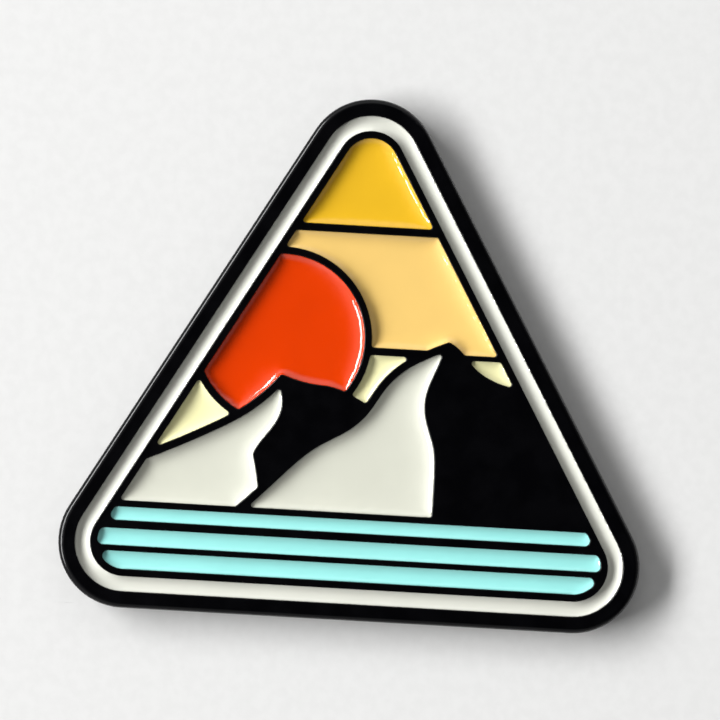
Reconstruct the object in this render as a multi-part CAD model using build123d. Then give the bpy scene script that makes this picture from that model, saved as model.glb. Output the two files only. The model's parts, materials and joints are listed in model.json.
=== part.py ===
from build123d import *
from math import sqrt
import os

# Triangular soft-enamel pin with two posts and two butterfly clutches. Millimetres.
# It stands upright: +X to the viewer's right, +Z up, the enamelled face looks along -Y.
# Origin: middle of the triangle, on the flat back face. The posts point along +Y.

# ---- plate -------------------------------------------------------------------
WIDTH = 32.0               # overall width of the triangle
THICKNESS = 1.6            # back face to the tops of the metal lines
RECESS = 0.6               # depth of the colour cells
FILL = 0.27                # thickness of the enamel in a cell
LINE_ROUND = 0.06          # rounding along the tops of the metal lines
RIM_ROUND = 0.34           # rounding of the rim's front edge
BACK_ROUND = 0.12          # rounding of the rim's back edge

# Every outline of the border is one skeleton triangle grown by one of these radii.
RIM = 3.65                 # outside of the metal rim
RING_OUTER = 2.72          # outside of the white border ring
RING_INNER = 1.89          # inside of the white border ring
FIELD = 1.49               # outside of the coloured field
SKELETON = (WIDTH - 2 * RIM) / (2 * sqrt(3))  # inradius of the skeleton triangle

# ---- raised metal lines, in face coordinates: x to the right, y up ---------------
LINE = 0.44                # usual width of a line
SUN_CENTRE, SUN_R, SUN_LINE = (-4.4, 4.55), 4.6, 0.40
LEVEL_LINES = {            # name: (height, width, left end, right end)
    "sky": (10.715, 0.43, -9, 9),
    "horizon": (4.08, 0.42, 0.4, 3.72),
    "far_horizon": (4.0, 0.28, 5.6, 11),
    "shore": (-5.03, 0.36, -15, 15),
    "wave_one": (-6.175, 0.45, -15, 15),
    "wave_two": (-7.49, 0.32, -15, 15),
}
LEFT_PEAK, RIGHT_PEAK, LEFT_ELBOW = (-4.2, 2.3), (4.82, 4.58), (-5.36, -1.93)
RIDGE_LINES = {
    "left_ridge": [(-11.9, -2.5), (-10, -1.63), (-8, -0.63), (-6, 0.57), (-5, 1.42), LEFT_PEAK],
    "saddle": [LEFT_PEAK, (-3.5, 2.08), (-2.5, 1.88), (-1.6, 1.8), (-0.7, 1.52), (0.5, 0.9)],
    "right_ridge": [(-6.26, -5.04), (-4.15, -2.94), (-2.12, -1.11), (-0.6, -0.2), (0.34, 0.65),
                    (1.32, 2.18), (2.38, 3.28), (3.6, 4.02), RIGHT_PEAK],
    "far_ridge": [RIGHT_PEAK, (5.15, 4.38), (5.6, 3.95), (6.15, 3.33), (7.22, 2.64), (9.2, 2.25)],
    "left_shade": [LEFT_PEAK, (-3.97, 1.4), (-3.93, 0.76), (-4.14, 0.0), (-4.61, -0.77),
                   (-5.2, -1.59), LEFT_ELBOW],
    "left_foot": [LEFT_ELBOW, (-5.14, -2.9), (-4.96, -3.9)],
    "right_shade": [RIGHT_PEAK, (4.3, 2.9), (3.9, 1.5), (3.92, 0.9), (4.5, -1.0), (4.63, -2.2),
                    (4.63, -5.1)],
}
CELL_ROUND = 0.14          # rounding of a cell's corners
WATER_ROUND = 0.30         # rounding of the water stripes' ends
CORNER_ANGLE = 25          # a cell's corner is rounded where its walls turn by more than this

CELLS = {                  # a point inside each colour cell; the shaded slopes stay solid metal
    "enamel_top_sky": (0, 13),
    "enamel_mid_sky": (2.5, 7),
    "enamel_sun": (-4.5, 6),
    "enamel_glow_left": (-8.8, 0.3),
    "enamel_glow_middle": (0.9, 3.2),
    "enamel_glow_right": (7.2, 3.4),
    "enamel_left_snow": (-8, -3),
    "enamel_right_snow": (1.5, -2),
    "enamel_water_upper": (0, -5.6),
    "enamel_water_middle": (0, -6.9),
    "enamel_water_lower": (0, -8.1),
}

# ---- posts, measured from the back face ----------------------------------------
POST_X, POST_Z = 7.5, -4.5  # place of the right post; the left one is its mirror image
POST_LENGTH = 8.0
POST_R = 0.60              # the straight stretch that passes through the fabric
STRAIGHT_FROM, STRAIGHT_TO = 0.45, 2.05
SEAT_R, SEAT_DEPTH = 1.25, 0.30  # pocket in the plate that takes the nail's head
HEAD_R, HEAD_T = 1.10, 0.20
ROOT_R = 0.75              # flared root of the shank, inside the weld
WELD_SAG = 0.10            # how far the solder's hollow fillet sags below its chord
NECK_R = 0.55              # the shank tapers to this at the groove
GROOVE_R, GROOVE_FROM, GROOVE_TO = 0.38, 6.25, 6.80
GROOVE_FLANK = 0.15        # height of the groove's sloping flanks
POINT_R, POINT_FROM = 0.50, 7.15  # where the point begins
TIP_R = 0.14               # blunt end of the point

# ---- butterfly clutch, measured from its fabric side -----------------------------
FABRIC_GAP = 2.1           # back face to clutch
SHEET = 0.35               # sheet thickness of the cap and the disc
CAP_R = 5.5
CAP_BEND = 0.8             # outer radius between the cap's floor and its wall
MOUTH_R, THROAT_R = 1.35, 0.78  # countersunk hole that leads the post in
DISC_R, DISC_Z = 5.06, 1.90  # the disc's radius, and the height of its underside
DISC_PLAY = 0.06           # radial clearance of the disc in the cap's rolled rim
DISC_LIFT = 0.03           # clearance over the ledge and under the rolled rim
LIP_R = 4.70               # inner radius of the rolled rim
ROLL_R = 0.45              # outer radius of the roll
LEDGE_R = 4.85             # inside of the wall below the ledge that carries the disc
DISC_HOLE_R = 0.75
WELL_FROM, WELL_TO, WELL_DEPTH = 2.78, 4.12, 0.25  # pressed ring around the wings
WELL_SLOPE, WELL_OFFSET = 0.2, 0.1  # run of its walls, and how far they shift on the underside
HINGE_X = 1.5              # the wings rock in slots this far from the post
WING_SHEET = 0.30
WING_GAP = 0.06            # half the gap between the two jaws
JAW_Z, JAW_BEND = 1.0, 0.4  # height of the jaws, and the bend from jaw to leg
JAW_WIDTH, WING_WIDTH = 2.6, 6.2
WING_REACH, WING_TOP = 5.4, 5.5
WING_KNEE, WING_TIP_SLOPE = (2.5, 4.45), 0.1  # where a wing bends outwards, and its slope at the tip
PIVOT_R = 0.20             # round bead across a wing's leg, which rocks in the disc's slot
SHOULDER_Z, SHOULDER_ROUND = 2.45, 0.5  # where a wing widens, just above the disc
WING_CORNER = 1.9          # rounding of a wing's outer corners, seen from behind
SLOT_WIDTH, SLOT_LENGTH = 0.50, 2.7
NOTCH_R = 0.62             # half-round notch in each jaw
SPRING_R, SPRING_Z, SPRING_PLAY = 0.20, 1.35, 0.02
SPRING_LEG = (-1.5, 1.2)   # the hairpin's straight legs run between these


# ---- helpers ---------------------------------------------------------------------
def triangle(grow):
    """The skeleton triangle grown outwards by a radius, so its corners are round."""
    skeleton = RegularPolygon(radius=2 * SKELETON, side_count=3, rotation=90)
    return offset(skeleton, amount=grow, kind=Kind.ARC)


def under(path, floor=-6):
    """The face between a ridge path and a level floor below it."""
    start, end = path @ 0, path @ 1
    return make_face(path + Polyline(end, (end.X, floor), (start.X, floor), start))


def turned(outline):
    """Solid of revolution about Z from a closed outline drawn in (radius, height)."""
    return revolve(make_face(Plane.XZ * outline), Axis.Z)


def upright(solid):
    """Turn a face-up solid so that its face looks along -Y."""
    return Rotation(90, 0, 0) * solid


def behind(solid, side, depth=0.0):
    """Put a solid on a post's axis with its +Z along +Y. Side is -1 for left and 1 for right."""
    return Pos(side * POST_X, depth, POST_Z) * Rotation(-90, 0, 0) * solid


# ---- the enamelled face ------------------------------------------------------------
def metal_lines():
    """Every raised line inside the field, as one flat sketch."""
    ridges = {name: Spline(*points) for name, points in RIDGE_LINES.items()}
    lines = Pos(*SUN_CENTRE) * (Circle(SUN_R + SUN_LINE) - Circle(SUN_R))
    lines -= under(ridges["left_ridge"])
    lines -= under(ridges["saddle"])
    for height, width, left, right in LEVEL_LINES.values():
        lines += trace(Line((left, height), (right, height)), width)
    for ridge in ridges.values():
        lines += trace(ridge, LINE)
    for bend in (LEFT_PEAK, RIGHT_PEAK, LEFT_ELBOW):
        lines += Pos(*bend) * Circle(LINE / 2)
    return lines


def is_corner(edge, prism):
    """Do the two walls beside an upright edge meet at a real corner?"""
    walls = [f for f in prism.faces() if any(e.is_same(edge) for e in f.edges())]
    first, second = (f.normal_at(edge @ 0.5) for f in walls)
    return first.get_angle(second) > CORNER_ANGLE


def recesses():
    """The hollows in the plate by name: the border ring, and what the lines leave of the field."""
    ring = extrude(triangle(RING_OUTER) - triangle(RING_INNER), RECESS)
    hollows = {"enamel_border": ring}
    regions = (triangle(FIELD) - metal_lines()).faces()
    for name, point in CELLS.items():
        region = next(f for f in regions if f.is_inside(Vector(*point)))
        prism = extrude(region, RECESS)
        corners = [e for e in prism.edges().filter_by(Axis.Z) if is_corner(e, prism)]
        hollows[name] = fillet(corners, WATER_ROUND if "water" in name else CELL_ROUND)
    return {name: Pos(0, 0, THICKNESS - RECESS) * hollow for name, hollow in hollows.items()}


def on_rim(edge):
    """Is a top edge the border between the flat rim and its rounded outer edge?"""
    inside = triangle(RIM - RIM_ROUND - LINE_ROUND)
    return not inside.face().is_inside(Vector((edge @ 0.5).X, (edge @ 0.5).Y, 0))


def base_plate(hollows):
    """Struck metal plate: raised lines on the face, two seats for the posts on the flat back."""
    plate = extrude(triangle(RIM), THICKNESS)
    plate = fillet(plate.edges().group_by(Axis.Z)[-1], RIM_ROUND)
    plate = fillet(plate.edges().group_by(Axis.Z)[0], BACK_ROUND)
    for hollow in hollows.values():
        plate -= hollow
    top_edges = plate.edges().filter_by_position(Axis.Z, THICKNESS, THICKNESS)
    plate = fillet([e for e in top_edges if not on_rim(e)], LINE_ROUND)
    for side in (-1, 1):
        plate -= Pos(side * POST_X, POST_Z, SEAT_DEPTH / 2) * Cylinder(SEAT_R, SEAT_DEPTH)
    return plate


def enamel(hollow):
    """The hardened enamel that fills a hollow to just below the metal lines."""
    floor = hollow.faces().sort_by(Axis.Z)[0]
    return extrude(floor, amount=FILL, dir=(0, 0, 1))


# ---- posts -----------------------------------------------------------------------
def post():
    """Nail: flat head, flared root, straight stretch, long taper, groove and point."""
    head_top = HEAD_T - SEAT_DEPTH
    return turned(Polyline(
        (0, -SEAT_DEPTH), (HEAD_R, -SEAT_DEPTH), (HEAD_R, head_top), (ROOT_R, head_top),
        (POST_R, STRAIGHT_FROM), (POST_R, STRAIGHT_TO), (NECK_R, GROOVE_FROM),
        (GROOVE_R, GROOVE_FROM + GROOVE_FLANK), (GROOVE_R, GROOVE_TO - GROOVE_FLANK),
        (NECK_R, GROOVE_TO), (POINT_R, POINT_FROM), (TIP_R, POST_LENGTH - TIP_R / 2),
        (TIP_R / 2, POST_LENGTH), (0, POST_LENGTH), close=True))


def weld():
    """Solder around the nail's head: it fills the seat and climbs the root in a hollow fillet."""
    head_top = HEAD_T - SEAT_DEPTH
    hollow_fillet = SagittaArc((SEAT_R, 0), (POST_R, STRAIGHT_FROM), WELD_SAG)
    sides = Polyline((POST_R, STRAIGHT_FROM), (ROOT_R, head_top), (HEAD_R, head_top),
                     (HEAD_R, -SEAT_DEPTH), (SEAT_R, -SEAT_DEPTH), (SEAT_R, 0))
    return turned(hollow_fillet + sides)


# ---- butterfly clutch --------------------------------------------------------------
def clutch_cap():
    """Pressed cap: a countersunk floor, a wall, a ledge and a rolled rim that hold the disc."""
    groove_r = DISC_R + DISC_PLAY
    ledge_z = DISC_Z - DISC_LIFT
    lip_z = DISC_Z + SHEET + DISC_LIFT
    top_z = lip_z + SHEET
    inner_bend = CAP_BEND - SHEET
    floor_bend = RadiusArc((CAP_R - CAP_BEND, 0), (CAP_R, CAP_BEND), -CAP_BEND)
    roll = RadiusArc((CAP_R, top_z - ROLL_R), (CAP_R - ROLL_R, top_z), -ROLL_R)
    cavity_bend = RadiusArc((LEDGE_R, SHEET + inner_bend), (LEDGE_R - inner_bend, SHEET), inner_bend)
    return turned(
        Polyline((MOUTH_R, 0), (CAP_R - CAP_BEND, 0)) + floor_bend
        + Line((CAP_R, CAP_BEND), (CAP_R, top_z - ROLL_R)) + roll
        + Polyline((CAP_R - ROLL_R, top_z), (LIP_R, top_z), (LIP_R, lip_z), (groove_r, lip_z),
                   (groove_r, ledge_z), (LEDGE_R, ledge_z), (LEDGE_R, SHEET + inner_bend))
        + cavity_bend
        + Polyline((LEDGE_R - inner_bend, SHEET), (THROAT_R, SHEET), (MOUTH_R, 0)))


def clutch_disc():
    """Disc that turns in the cap, with a hole for the post, a pressed well and two wing slots."""
    low, high = DISC_Z, DISC_Z + SHEET
    inner, outer = WELL_FROM + WELL_OFFSET, WELL_TO - WELL_OFFSET
    disc = turned(Polyline(
        (DISC_HOLE_R, low), (inner, low), (inner + WELL_SLOPE, low - WELL_DEPTH),
        (outer - WELL_SLOPE, low - WELL_DEPTH), (outer, low), (DISC_R, low), (DISC_R, high),
        (WELL_TO, high), (WELL_TO - WELL_SLOPE, high - WELL_DEPTH),
        (WELL_FROM + WELL_SLOPE, high - WELL_DEPTH), (WELL_FROM, high), (DISC_HOLE_R, high),
        close=True))
    for side in (-1, 1):
        disc -= Pos(side * HINGE_X, 0, low) * Box(SLOT_WIDTH, SLOT_LENGTH, 4 * SHEET)
    return disc


def clutch_wing():
    """One bent strip on the +X side: a notched jaw, a leg with its pivot bead, and a finger wing."""
    leg = FilletPolyline((WING_GAP, JAW_Z), (HINGE_X, JAW_Z), (HINGE_X, SHOULDER_Z), radius=JAW_BEND)
    finger = Spline(leg @ 1, WING_KNEE, (WING_REACH, WING_TOP),
                    tangents=[(0, 1), (1, WING_TIP_SLOPE)])
    section = trace(leg + finger, WING_SHEET) + Pos(HINGE_X, DISC_Z + SHEET / 2) * Circle(PIVOT_R)
    strip = extrude(Plane.XZ * section, WING_WIDTH / 2, both=True)
    neck = Rectangle(JAW_WIDTH, 2 * SHOULDER_Z)
    blade = Pos(0, SHOULDER_Z + WING_TOP / 2) * Rectangle(WING_WIDTH, WING_TOP)
    front = Plane.YZ * fillet((neck + blade).vertices().group_by(Axis.Y)[1], SHOULDER_ROUND)
    plan = Rectangle(2 * WING_REACH, WING_WIDTH)
    plan = fillet(plan.vertices(), WING_CORNER)
    wing = strip & extrude(front, 2 * WING_REACH, both=True) & extrude(plan, 2 * WING_TOP, both=True)
    return wing - Cylinder(NOTCH_R, 4 * JAW_Z)


def clutch_spring():
    """Hairpin of round wire that holds the two jaws together from outside."""
    leg_x = HINGE_X + WING_SHEET / 2 + SPRING_R + SPRING_PLAY
    low, high = SPRING_LEG
    path = (Line((-leg_x, low), (-leg_x, high))
            + ThreePointArc((-leg_x, high), (0, high + leg_x), (leg_x, high))
            + Line((leg_x, high), (leg_x, low)))
    wire = sweep(Plane.XZ.offset(-low) * (Pos(-leg_x, 0) * Circle(SPRING_R)), path=path)
    return Pos(0, 0, SPRING_Z) * wire


# ---- every part, in place --------------------------------------------------------
parts = {}
hollows = recesses()
parts["base_plate"] = upright(base_plate(hollows))
for name, hollow in hollows.items():
    parts[name] = upright(enamel(hollow))
for word, side in (("left", -1), ("right", 1)):
    parts[f"{word}_post"] = behind(post(), side)
    parts[f"{word}_post_weld"] = behind(weld(), side)
    parts[f"{word}_clutch_cap"] = behind(clutch_cap(), side, FABRIC_GAP)
    parts[f"{word}_clutch_disc"] = behind(clutch_disc(), side, FABRIC_GAP)
    parts[f"{word}_clutch_spring"] = behind(clutch_spring(), side, FABRIC_GAP)
    wing = clutch_wing()
    parts[f"{word}_clutch_wing_a"] = behind(wing, side, FABRIC_GAP)
    parts[f"{word}_clutch_wing_b"] = behind(Rotation(0, 0, 180) * wing, side, FABRIC_GAP)

os.makedirs("parts", exist_ok=True)
for name, solid in parts.items():
    export_step(solid, f"parts/{name}.step")
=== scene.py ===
import bpy
import json
import math
import numpy as np
from mathutils import Matrix, Vector, noise
from mathutils.geometry import delaunay_2d_cdt


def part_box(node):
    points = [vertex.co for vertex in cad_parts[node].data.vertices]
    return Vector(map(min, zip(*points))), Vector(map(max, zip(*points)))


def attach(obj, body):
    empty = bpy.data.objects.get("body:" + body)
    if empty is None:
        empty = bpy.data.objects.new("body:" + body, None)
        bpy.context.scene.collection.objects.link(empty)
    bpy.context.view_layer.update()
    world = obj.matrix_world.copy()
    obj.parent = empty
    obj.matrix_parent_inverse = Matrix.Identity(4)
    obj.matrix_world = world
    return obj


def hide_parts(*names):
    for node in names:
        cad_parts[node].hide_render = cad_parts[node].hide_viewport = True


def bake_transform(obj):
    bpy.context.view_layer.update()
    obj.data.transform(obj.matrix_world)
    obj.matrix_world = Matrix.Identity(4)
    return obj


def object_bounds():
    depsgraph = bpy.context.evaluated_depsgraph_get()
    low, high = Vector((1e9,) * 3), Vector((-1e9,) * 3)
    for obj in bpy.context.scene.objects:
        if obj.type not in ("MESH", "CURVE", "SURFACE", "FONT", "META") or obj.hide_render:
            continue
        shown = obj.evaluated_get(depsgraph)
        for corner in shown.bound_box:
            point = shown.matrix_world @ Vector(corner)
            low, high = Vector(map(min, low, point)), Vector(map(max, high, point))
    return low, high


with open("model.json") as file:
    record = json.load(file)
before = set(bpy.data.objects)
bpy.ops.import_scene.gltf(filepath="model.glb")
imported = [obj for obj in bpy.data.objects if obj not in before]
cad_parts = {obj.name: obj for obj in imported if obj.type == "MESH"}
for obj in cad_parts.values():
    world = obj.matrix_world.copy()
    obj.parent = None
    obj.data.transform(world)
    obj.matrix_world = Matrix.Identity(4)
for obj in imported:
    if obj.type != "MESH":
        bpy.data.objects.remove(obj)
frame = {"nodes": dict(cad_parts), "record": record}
cad_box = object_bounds()

MM = 0.001

# ---- sizes of the enamel, in mm --------------------------------------------------------
CONTACT = 0.12                   # how far below the metal the enamel touches the wall
RING_CONTACT = 0.15              # the same in the border ring, which is filled less
CLIMB, CLIMB_REACH = 0.13, 0.20  # height of the steep climb, and how far from a wall it is felt
DISH, DISH_REACH = 0.22, 0.5     # the same for the shallow dish
SWELL = 0.006                    # slow unevenness of the hardened surface
SWELL_PER_MM = 0.55              # how many swells there are along a millimetre
SWELL_SLICE = 3.7                # which slice of the 3-D noise the swells are taken from

# ---- how finely the enamel is meshed, in mm --------------------------------------------
WALL_STEP = 0.11                 # longest edge along a wall
# How far from a wall each ring of points runs
BAND = (0.03, 0.06, 0.10, 0.15, 0.21, 0.28, 0.37, 0.49, 0.64, 0.84, 1.1)
RING_SPACING = 0.6               # spacing of a ring's points, as a share of its distance to the wall
RING_SLACK = 0.97                # share of that distance that every other wall keeps too
GRID = 0.30                      # spacing of the points further in
ROW_GAP = 0.87                   # spacing of that grid's rows, as a share of GRID
LEAST_PULL = 0.02                # the smallest edge weight, for the most slender triangles
CHUNK = 512                      # points handled at once, to save memory

# ---- how finely a clutch spring is meshed ----------------------------------------------
AROUND = 16                      # points round the wire
BEND_STEPS = 24
LEG_STEPS = 8
TIP_DEGREES = (0, 30, 55, 75)    # rings that round off the tip

# ---- stage and camera, in metres -------------------------------------------------------
SPREAD = 0.4                     # half the side of a stage plane
SQUARE = ((-1, -1), (1, -1), (1, 1), (-1, 1))
WALL_Y = 0.00005                 # the wall stands just behind the pin's back
BACKDROP = (0.83, 0.83, 0.825)
FRAME_WIDTH = 0.0395             # what the picture spans at the pin's face
ROLL_DEG = 3.27                  # how far the pin leans clockwise in the main view
FOCAL_MM, SENSOR_MM = 135, 36


# ---- node trees ------------------------------------------------------------------------
class Nodes:
    """A short way to write the node tree of a material or of the world."""

    def __init__(self, owner, kind):
        owner.use_nodes = True
        self.owner = owner
        self.tree = owner.node_tree
        self.tree.nodes.clear()
        self.out = self.tree.nodes.new("ShaderNodeOutput" + kind)

    def put(self, socket, value):
        """Set a socket's value, or link it to the socket that is given as the value."""
        if isinstance(value, bpy.types.NodeSocket):
            self.tree.links.new(value, socket)
        elif isinstance(value, tuple) and socket.type == "RGBA":
            socket.default_value = (*value, 1)
        else:
            socket.default_value = value

    def node(self, kind, out=0, attrs=None, **inputs):
        """A node whose inputs are set by name, where an underscore stands for a space."""
        n = self.tree.nodes.new("ShaderNode" + kind)
        for key, value in (attrs or {}).items():
            setattr(n, key, value)
        for key, value in inputs.items():
            self.put(n.inputs[key.replace("_", " ")], value)
        return n.outputs[out]

    def listed(self, kind, values, out=0, **attrs):
        """A node whose inputs are set in their own order."""
        n = self.node(kind, out, attrs).node
        for socket, value in zip(n.inputs, values):
            self.put(socket, value)
        return n.outputs[out]

    def plus(self, total, *others):
        for value in others:
            total = self.listed("Math", (total, value), operation="ADD")
        return total

    def times(self, product, *others):
        for value in others:
            product = self.listed("Math", (product, value), operation="MULTIPLY")
        return product

    def ramp(self, value, low, high, to_low=0.0, to_high=1.0):
        """Map a value smoothly from one range to another, held at the ends."""
        values = (value, low, high, to_low, to_high)
        return self.listed("MapRange", values, interpolation_type="SMOOTHSTEP")

    def mix(self, factor, a, b):
        """A colour between two others."""
        n = self.node("Mix", attrs={"data_type": "RGBA"}).node
        for key, value in ((0, factor), (6, a), (7, b)):
            self.put(n.inputs[key], value)
        return n.outputs[2]

    def mix_shader(self, factor, a, b):
        return self.listed("MixShader", (factor, a, b))

    def finish(self, shader):
        self.put(self.out.inputs["Surface"], shader)
        return self.owner


class Material(Nodes):
    """The node tree of a new material, with what surfaces need."""

    def __init__(self, name):
        super().__init__(bpy.data.materials.new(name), "Material")
        self.coord = self.node("TexCoord", "Object")

    def noise(self, per_mm, detail=2.0, rough=0.5, stretch=(1, 1, 1)):
        """Noise with this many features for each millimetre, between 0 and 1."""
        scale = tuple(per_mm / MM * s for s in stretch)
        place = self.listed("VectorMath", (self.coord, scale), "Vector", operation="MULTIPLY")
        return self.node("TexNoise", Vector=place, Scale=1.0, Detail=detail, Roughness=rough)

    def bump(self, height, depth_mm, strength=1.0, normal=None):
        extra = {"Normal": normal} if normal else {}
        return self.node("Bump", Height=height, Distance=depth_mm * MM, Strength=strength, **extra)

    def dot(self, a, b):
        return self.listed("VectorMath", (a, b), "Value", operation="DOT_PRODUCT")

    def sharp_edges(self, radius_mm, start, full):
        """Where the surface turns: 0 where the rounded normal agrees with the flat one, 1 at edges."""
        rounded = self.node("Bevel", attrs={"samples": 4}, Radius=radius_mm * MM)
        return self.ramp(self.dot(rounded, self.node("NewGeometry", "Normal")), start, full)

    def principled(self, **inputs):
        return self.finish(self.node("BsdfPrincipled", **inputs))


def linear(r, g, b):
    """An sRGB colour (0 to 255) as linear light."""
    return tuple(((c / 255 + 0.055) / 1.055) ** 2.4 if c > 10 else c / 255 / 12.92 for c in (r, g, b))


def shade(colour, factor):
    """A colour made darker or brighter."""
    return tuple(min(1, c * factor) for c in colour)


# ---- materials -------------------------------------------------------------------------
PIGMENT = 0.70                   # how much darker the pigments are than the lit colours below
ENAMEL_COLOURS = {
    "enamel_ivory": (230, 231, 220),
    "enamel_gold": (240, 189, 40),
    "enamel_peach": (252, 211, 123),
    "enamel_red": (229, 62, 2),
    "enamel_cream": (250, 246, 190),
    "enamel_snow": (226, 227, 212),
    "enamel_aqua": (164, 243, 238),
}
METALS = {
    "nickel": dict(colour=(214, 208, 198), rough=0.20),
    "post_steel": dict(colour=(205, 204, 202), rough=0.22, grain=(0.3, 6, 0.3), grain_mm=0.003,
                       dent_mm=0.002),
    "solder": dict(colour=(168, 170, 174), rough=0.42, dark=0.6, grain_per_mm=5, grain_mm=0.012,
                   dent_mm=0.03, tarnish=1.2),
    "spring_wire": dict(colour=(178, 178, 182), rough=0.24, grain=(0.2, 6, 0.2), grain_mm=0.003),
}


def enamel_material(name, colour):
    """Glossy baked enamel: faint pigment clouds, rare dust specks and a slightly uneven skin."""
    m = Material(name)
    base = shade(linear(*colour), PIGMENT)
    speck = tuple(c * 0.5 + 0.02 for c in base)
    clouds = m.ramp(m.noise(0.35, detail=3), 0.35, 0.65)
    dust = m.ramp(m.noise(9, detail=1), 0.79, 0.85)
    body = m.mix(m.times(dust, 0.3), m.mix(clouds, shade(base, 0.97), base), speck)
    skin = m.bump(m.noise(1.6, detail=2), 0.004)
    skin = m.bump(m.noise(22, detail=1), 0.0006, normal=skin)
    rough = m.ramp(m.noise(3, detail=3), 0.3, 0.7, 0.08, 0.12)
    return m.principled(Base_Color=body, Roughness=rough, Normal=skin, IOR=1.5,
                        Coat_Weight=0.35, Coat_Roughness=0.05, Coat_Normal=skin)


def metal_material(name, colour, rough, dark=0.75, grain=(1, 1, 1), grain_per_mm=12, grain_mm=0.0015,
                   dent_mm=0.004, tarnish=0.5):
    """Plated metal: uneven gloss, fine grain along one direction, soft dents and brighter worn edges."""
    m = Material(name)
    base = linear(*colour)
    cloud = m.noise(0.55, detail=5, rough=0.6)
    streak = m.noise(grain_per_mm, detail=3, stretch=grain)
    tone = m.mix(m.ramp(cloud, 0.38, 0.62), shade(base, dark), base)
    tone = m.mix(m.times(m.sharp_edges(0.09, 0.99, 0.90), 0.5), tone, shade(base, 1.25))
    gloss = m.ramp(cloud, 0.35, 0.65, rough + 0.10 * tarnish, rough - 0.05)
    gloss = m.plus(gloss, m.ramp(streak, 0.4, 0.7, 0.0, 0.08))
    dents = m.bump(m.noise(0.9, detail=2), dent_mm)
    skin = m.bump(streak, grain_mm, normal=dents)
    return m.principled(Base_Color=tone, Metallic=1.0, Roughness=gloss, Normal=skin)


def black_metal_material(name):
    """Black dyed plating: satin on the struck face and edges, sandblasted on the back."""
    m = Material(name)
    towards_back = m.node("SeparateXYZ", "Y", Vector=m.node("NewGeometry", "True Normal"))
    back = m.ramp(towards_back, 0.6, 0.9)
    cloud = m.noise(0.6, detail=4)
    pebble = m.noise(4.2, detail=3, rough=0.55)
    satin = m.mix(m.ramp(cloud, 0.35, 0.65), (0.0007, 0.0007, 0.0011), (0.0014, 0.0014, 0.0019))
    blasted = m.mix(m.ramp(pebble, 0.40, 0.62), (0.010, 0.010, 0.011), (0.026, 0.026, 0.028))
    tone = m.mix(m.times(back, 0.9), satin, blasted)
    tone = m.mix(m.times(m.sharp_edges(0.05, 0.985, 0.90), 0.25), tone, (0.02, 0.02, 0.02))
    scuff = m.ramp(m.noise(2.2, detail=6, rough=0.7), 0.56, 0.68)
    gloss = m.plus(m.ramp(cloud, 0.3, 0.7, 0.17, 0.20), m.times(scuff, 0.02), m.times(back, 0.22))
    shine = m.plus(m.times(back, 0.4), 0.30)
    pits = m.bump(pebble, 0.09, strength=m.times(back, 0.9))
    skin = m.bump(m.noise(5, detail=3), 0.0022, normal=pits)
    return m.principled(Base_Color=tone, Metallic=0.2, Roughness=gloss, Normal=skin, IOR=1.45,
                        Specular_IOR_Level=shine)


def make_materials():
    """Every material by the name of its slot."""
    made = {name: enamel_material(name, colour) for name, colour in ENAMEL_COLOURS.items()}
    made |= {name: metal_material(name, **look) for name, look in METALS.items()}
    made["black_metal"] = black_metal_material("black_metal")
    return made


# ---- objects ---------------------------------------------------------------------------
def add_object(name, data):
    thing = bpy.data.objects.new(name, data)
    bpy.context.scene.collection.objects.link(thing)
    return thing


def mesh_object(name, coords, faces):
    mesh = bpy.data.meshes.new(name)
    mesh.from_pydata(coords, [], faces)
    mesh.validate()
    return add_object(name, mesh)


def outer_edges(faces):
    """The edges that only one of the faces has, each in its face's direction."""
    directed = dict.fromkeys((a, b) for face in faces for a, b in zip(face, face[1:] + face[:1]))
    return [(a, b) for a, b in directed if (b, a) not in directed]


# ---- enamel pools ----------------------------------------------------------------------
def front_loops(node):
    """Boundary loops of a CAD node's flat front face, as closed lists of (x, z) in mm."""
    mesh = node.data
    front = min(v.co.y for v in mesh.vertices)
    in_front = [abs(v.co.y - front) < 1e-7 for v in mesh.vertices]
    place = [(round(v.co.x / MM, 4), round(v.co.z / MM, 4)) for v in mesh.vertices]
    faces = [[place[i] for i in face.vertices] for face in mesh.polygons
             if all(in_front[i] for i in face.vertices)]
    after = dict(outer_edges(faces))
    loops = []
    while after:
        start, point = next(iter(after.items()))
        loop = [start]
        del after[start]
        while point != start:
            loop.append(point)
            point = after.pop(point)
        loops.append(loop)
    return loops


def resample(loop):
    """The same closed outline with no edge longer than WALL_STEP."""
    points = []
    for a, b in zip(loop, loop[1:] + loop[:1]):
        a, b = np.array(a), np.array(b)
        count = max(1, math.ceil(np.linalg.norm(b - a) / WALL_STEP))
        points += [a + (b - a) * i / count for i in range(count)]
    return np.array(points)


def thin_out(points, spacing, taken):
    """Drop points that fall in a grid square which already holds one."""
    kept = []
    for p in points:
        square = (round(p[0] / spacing), round(p[1] / spacing), spacing)
        if square not in taken:
            taken.add(square)
            kept.append(p)
    return kept


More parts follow.
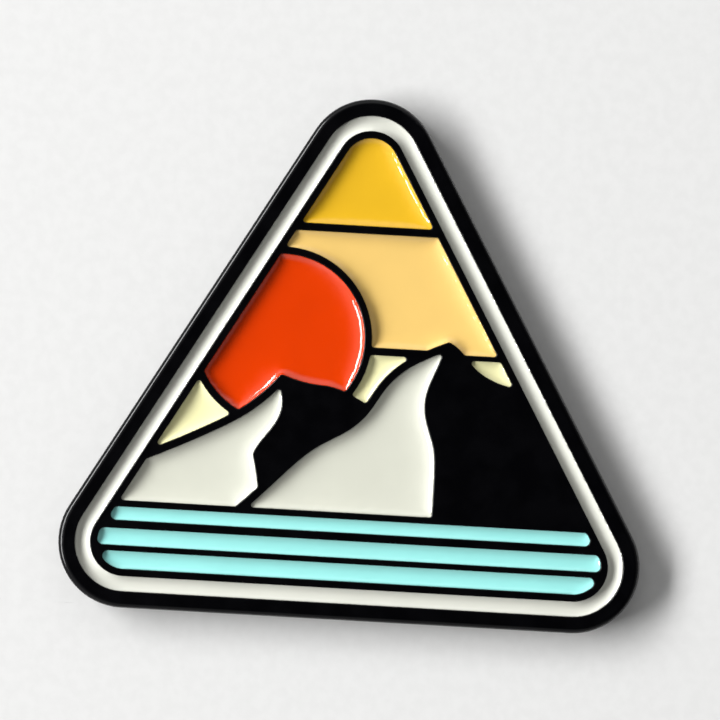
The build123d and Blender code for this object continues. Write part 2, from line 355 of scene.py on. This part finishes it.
class Walls:
    """The walls round one cell, as short straight segments in mm."""

    def __init__(self, loops):
        self.rings = [resample(loop) for loop in loops]
        self.starts = np.concatenate(self.rings)
        self.ends = np.concatenate([np.roll(ring, -1, axis=0) for ring in self.rings])
        self.along = self.ends - self.starts

    def distance(self, points):
        """Distance of each point to the nearest wall."""
        best = np.full(len(points), np.inf)
        length2 = (self.along ** 2).sum(1)
        for i in range(0, len(points), CHUNK):
            p = points[i:i + CHUNK, None, :] - self.starts[None]
            t = np.clip((p * self.along).sum(2) / length2, 0, 1)
            gap = p - t[..., None] * self.along
            best[i:i + CHUNK] = np.sqrt((gap ** 2).sum(2)).min(1)
        return best

    def enclose(self, points):
        """Which points lie inside, by counting the walls that each has to its right."""
        hit = np.zeros(len(points), int)
        for (x0, z0), (x1, z1) in zip(self.starts, self.ends):
            if z0 == z1:
                continue
            crosses = (points[:, 1] >= min(z0, z1)) & (points[:, 1] < max(z0, z1))
            x = x0 + (points[:, 1] - z0) * (x1 - x0) / (z1 - z0)
            hit += crosses & (points[:, 0] < x)
        return hit % 2 == 1

    def band_points(self):
        """Points in rings that follow the walls, denser near them."""
        middle = (self.starts + self.ends) / 2
        normal = np.stack([-self.along[:, 1], self.along[:, 0]], 1)
        normal /= np.linalg.norm(normal, axis=1)[:, None]
        taken, kept = set(), []
        for depth in BAND:
            ring = np.concatenate([middle + normal * depth, middle - normal * depth])
            ring = ring[self.enclose(ring)]
            ring = ring[self.distance(ring) > depth * RING_SLACK]
            kept += thin_out(ring, RING_SPACING * max(depth, WALL_STEP), taken)
        return kept

    def grid_points(self):
        """Points in a staggered grid, further in than the rings."""
        low, high = self.starts.min(0), self.starts.max(0)
        grid = np.array([(x + (row % 2) * GRID / 2, z)
                         for row, z in enumerate(np.arange(low[1], high[1], GRID * ROW_GAP))
                         for x in np.arange(low[0], high[0], GRID)])
        grid = grid[self.enclose(grid)]
        return list(grid[self.distance(grid) > BAND[-1] + GRID / 2])

    def triangulate(self):
        """Points and triangles that fill the cell, and which of the points are on a wall."""
        flat = np.concatenate([self.starts, np.array(self.band_points() + self.grid_points())])
        edges, first = [], 0
        for ring in self.rings:
            n = len(ring)
            edges += [(first + k, first + (k + 1) % n) for k in range(n)]
            first += n
        corners = [Vector(p) for p in flat]
        verts, _, faces, sources, _, _ = delaunay_2d_cdt(corners, edges, [], 0, 1e-6)
        points = np.array([tuple(v) for v in verts])
        filled = self.enclose(np.array([points[list(face)].mean(0) for face in faces]))
        triangles = [tuple(face) for face, keep in zip(faces, filled) if keep]
        on_wall = np.array([any(s < len(self.starts) for s in source) for source in sources])
        return points, triangles, on_wall


def pulls(points, triangles):
    """Each edge of the surface with its cotangent weight, and the area that belongs to each point."""
    tri = np.array(triangles)
    area = np.zeros(len(points))
    i, j, weight = [], [], []
    for k in range(3):
        a, b, c = tri[:, k], tri[:, (k + 1) % 3], tri[:, (k + 2) % 3]
        u, v = points[a] - points[c], points[b] - points[c]
        cross = np.abs(u[:, 0] * v[:, 1] - u[:, 1] * v[:, 0])
        cot = np.maximum(LEAST_PULL, (u * v).sum(1) / np.maximum(cross, 1e-9)) / 2
        np.add.at(area, c, cross / 6)                  # a third of the triangle
        i += [a, b]
        j += [b, a]
        weight += [cot, cot]
    return np.concatenate(i), np.concatenate(j), np.concatenate(weight), area


def relax(i, j, weight, area, on_wall, distance, reach, rounds=200):
    """A sagging skin, 1 on the walls: pulled flat by its weight and up by its neighbours."""
    height = np.where(on_wall, 1.0, np.exp(-distance / reach))
    pull = weight * reach ** 2
    total = np.bincount(i, pull, len(height)) + area
    for _ in range(rounds):
        height = np.where(on_wall, 1.0, np.bincount(i, pull * height[j], len(height)) / total)
    return height


def enamel_pool(node):
    """A closed body of enamel that fills a cell: it climbs the walls and lies lower in the middle."""
    walls = Walls(front_loops(node))
    points, triangles, on_wall = walls.triangulate()
    distance = walls.distance(points)
    skin = pulls(points, triangles)
    climb = relax(*skin, on_wall, distance, CLIMB_REACH)
    dish = relax(*skin, on_wall, distance, DISH_REACH)
    swell = np.array([noise.noise(Vector((x * SWELL_PER_MM, z * SWELL_PER_MM, SWELL_SLICE)))
                      for x, z in points])
    contact = RING_CONTACT if node.name == "enamel_border" else CONTACT
    below = contact + DISH * (1 - dish) + CLIMB * (1 - climb) + SWELL * swell * (1 - climb)

    plate_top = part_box("base_plate")[0].y
    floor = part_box(node.name)[1].y
    coords = [(x * MM, plate_top + depth * MM, z * MM) for (x, z), depth in zip(points, below)]
    coords += [(x * MM, floor, z * MM) for x, z in points]
    count = len(points)
    faces = list(triangles)
    faces += [(c + count, b + count, a + count) for a, b, c in triangles]
    faces += [(b, a, a + count, b + count) for a, b in outer_edges(triangles)]
    piece = mesh_object(node.name + "_pool", coords, faces)
    for face in piece.data.polygons:
        face.use_smooth = abs(face.normal.y) > 0.3     # the sides stay flat
    return piece


# ---- clutch springs --------------------------------------------------------------------
def hairpin_half(node, name, side):
    """One leg and half the bend of a clutch's round hairpin spring, with the bend's top and centre."""
    low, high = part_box(node)
    wire = (high.y - low.y) / 2
    reach = (high.x - low.x) / 2 - wire
    out = Vector((side, 0, 0))
    apex = Vector(((low.x + high.x) / 2, (low.y + high.y) / 2, high.z - wire))
    bend = apex - Vector((0, 0, reach))
    leg = bend + out * reach
    tip = Vector((leg.x, leg.y, low.z + wire))

    rings = []                       # centre, direction across the wire, radius
    for k in range(BEND_STEPS + 1):
        angle = math.radians(90 - 90 * k / BEND_STEPS)
        across = Vector((side * math.cos(angle), 0, math.sin(angle)))
        rings.append((bend + across * reach, across, wire))
    for k in range(1, LEG_STEPS + 1):
        rings.append((leg.lerp(tip, k / (LEG_STEPS + 1)), out, wire))
    for angle in map(math.radians, TIP_DEGREES):
        rings.append((tip - Vector((0, 0, wire * math.sin(angle))), out, wire * math.cos(angle)))

    coords, faces = [], []
    for centre, across, radius in rings:
        for k in range(AROUND):
            angle = 2 * math.pi * k / AROUND
            around = across * math.cos(angle) + Vector((0, side * math.sin(angle), 0))
            coords.append(centre + around * radius)
    for first in range(0, len(coords) - AROUND, AROUND):
        for k in range(AROUND):
            a, b = first + k, first + (k + 1) % AROUND
            faces.append((a, a + AROUND, b + AROUND, b))
    faces.append(tuple(range(AROUND)))
    faces.append(tuple(range(len(coords) - AROUND, len(coords)))[::-1])
    piece = mesh_object(name, coords, faces)
    for face in piece.data.polygons:
        face.use_smooth = face.index < len(faces) - 2  # the two ends stay flat
    return piece, apex, bend


# ---- the pin's pieces ------------------------------------------------------------------
record = frame["record"]
slots = {part["node"]: part["material_slot"] for part in record["subparts"]}
body_of = {node: body for body, nodes in record["behaviour"]["bodies"].items() for node in nodes}
materials = make_materials()


def stand_in(piece, name):
    """Let a piece take the place, the material and the slot of a CAD node."""
    piece.data.materials.append(materials[slots[name]])
    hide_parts(name)


for name, node in frame["nodes"].items():
    if name.startswith("enamel_"):
        pool = enamel_pool(node)
        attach(pool, body_of[name])
        stand_in(pool, name)
    elif name.endswith("_clutch_spring"):
        for wing, side in (("a", 1), ("b", -1)):
            half, apex, bend = hairpin_half(name, f"{name}_{wing}", side)
            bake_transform(half)
            stand_in(half, name)
    else:
        node.data.materials.clear()
        node.data.materials.append(materials[slots[name]])


# ---- stage -----------------------------------------------------------------------------
def stage_plane(name, corners, hidden_at, shown_at, fades_from_mm, fades_to_mm, mirrored):
    """A pale matt plane that shows from its front only, fades far out and hides when seen aslant.

    It is hidden up to the first cosine between the view and its normal, and shown from the second.
    """
    plane = mesh_object(name, corners, [(0, 1, 2, 3)])
    m = Material(name)
    squarely = m.dot(m.node("NewGeometry", "Incoming"), m.node("NewGeometry", "True Normal"))
    shown = m.times(m.ramp(squarely, hidden_at, shown_at), m.node("LightPath", "Is Camera Ray"))
    shown = m.plus(shown, m.times(m.node("LightPath", "Is Glossy Ray"), mirrored))
    away = m.listed("VectorMath", (m.coord,), "Value", operation="LENGTH")
    near = m.ramp(away, fades_from_mm * MM, fades_to_mm * MM, 1.0, 0.0)
    front = m.listed("Math", (1.0, m.node("NewGeometry", "Backfacing")), operation="SUBTRACT")
    paper = m.mix(m.ramp(m.noise(1.5, detail=4), 0.3, 0.7), (0.61, 0.61, 0.605), (0.63, 0.63, 0.625))
    matt = m.node("BsdfDiffuse", Color=paper, Roughness=0.6)
    clear = m.node("BsdfTransparent")
    plane.data.materials.append(m.finish(m.mix_shader(m.times(shown, near, front), clear, matt)))


def area_light(name, towards, distance, width, height, watts, target):
    """A soft light that lies in a direction from its target and shines on it."""
    light = bpy.data.lights.new(name, "AREA")
    light.shape = "RECTANGLE"
    light.size = width
    light.size_y = height
    light.energy = watts
    lamp = add_object(name, light)
    direction = Vector(towards).normalized()
    lamp.location = target + direction * distance
    lamp.rotation_mode = "QUATERNION"
    lamp.rotation_quaternion = direction.to_track_quat("Z", "Y")
    lamp.visible_camera = False
    return lamp


def studio_world():
    """A pale backdrop. Glossy surfaces mirror a pale room behind the pin, and a dark room in front of
    it with a soft glow to the left, above, to the right and below."""
    w = Nodes(bpy.data.worlds.new("studio"), "World")
    x, y, z = w.node("SeparateXYZ", Vector=w.node("TexCoord", "Generated")).node.outputs
    glow = w.plus(w.ramp(x, -0.60, -0.08, 0.7, 0.0), w.ramp(z, 0.50, 0.85, 0.0, 1.1),
                  w.ramp(x, 0.6, 0.85, 0.0, 0.25), w.ramp(z, -0.85, -0.5, 0.6, 0.0))
    in_front = w.ramp(y, -0.25, 0.05, 1.0, 0.0)
    mirrored = w.plus(w.times(glow, in_front), w.ramp(y, -0.35, 0.45, 0.015, 0.75))
    diffuse = w.node("Background", Color=(1, 1, 1), Strength=0.26)
    glossy = w.node("Background", Color=(1, 1, 1), Strength=mirrored)
    unseen = w.mix_shader(w.node("LightPath", "Is Glossy Ray"), diffuse, glossy)
    seen = w.node("Background", Color=BACKDROP, Strength=1.0)
    return w.finish(w.mix_shader(w.node("LightPath", "Is Camera Ray"), unseen, seen))


def main_camera(target):
    """Straight in front of the target, and rolled as much as the pin leans in the main view."""
    lens = bpy.data.cameras.new("camera")
    lens.lens, lens.sensor_width = FOCAL_MM, SENSOR_MM
    lens.clip_start, lens.clip_end = 0.001, 10
    camera = add_object("camera", lens)
    distance = FRAME_WIDTH * FOCAL_MM / SENSOR_MM
    turn = Matrix.Rotation(math.radians(90), 4, "X") @ Matrix.Rotation(math.radians(ROLL_DEG), 4, "Z")
    camera.matrix_world = Matrix.Translation(target - Vector((0, distance, 0))) @ turn
    return camera


low, high = cad_box
centre = (low + high) / 2
face = Vector((centre.x, low.y, centre.z))
stage_plane("wall", [(x * SPREAD, WALL_Y, z * SPREAD) for x, z in SQUARE],
            hidden_at=0.90, shown_at=0.95, fades_from_mm=45, fades_to_mm=85, mirrored=1.0)
stage_plane("floor", [(x * SPREAD, y * SPREAD, low.z) for x, y in SQUARE],
            hidden_at=0.15, shown_at=0.24, fades_from_mm=30, fades_to_mm=75, mirrored=0.0)
area_light("key", towards=(-0.84, -0.52, 0.15), distance=0.40, width=0.11, height=0.48, watts=4.5,
           target=face)
fill = area_light("fill", towards=(0.10, -0.75, 1.0), distance=0.50, width=0.60, height=0.20, watts=0.5,
                  target=face)
fill.visible_glossy = False
area_light("back_key", towards=(0.75, 0.80, 0.75), distance=0.24, width=0.11, height=0.11, watts=0.6,
           target=centre)
area_light("back_fill", towards=(-0.85, 0.75, 0.10), distance=0.26, width=0.13, height=0.13, watts=0.35,
           target=centre)
bpy.context.scene.world = studio_world()
bpy.context.scene.camera = main_camera(face)
bpy.context.scene.view_settings.view_transform = "Standard"
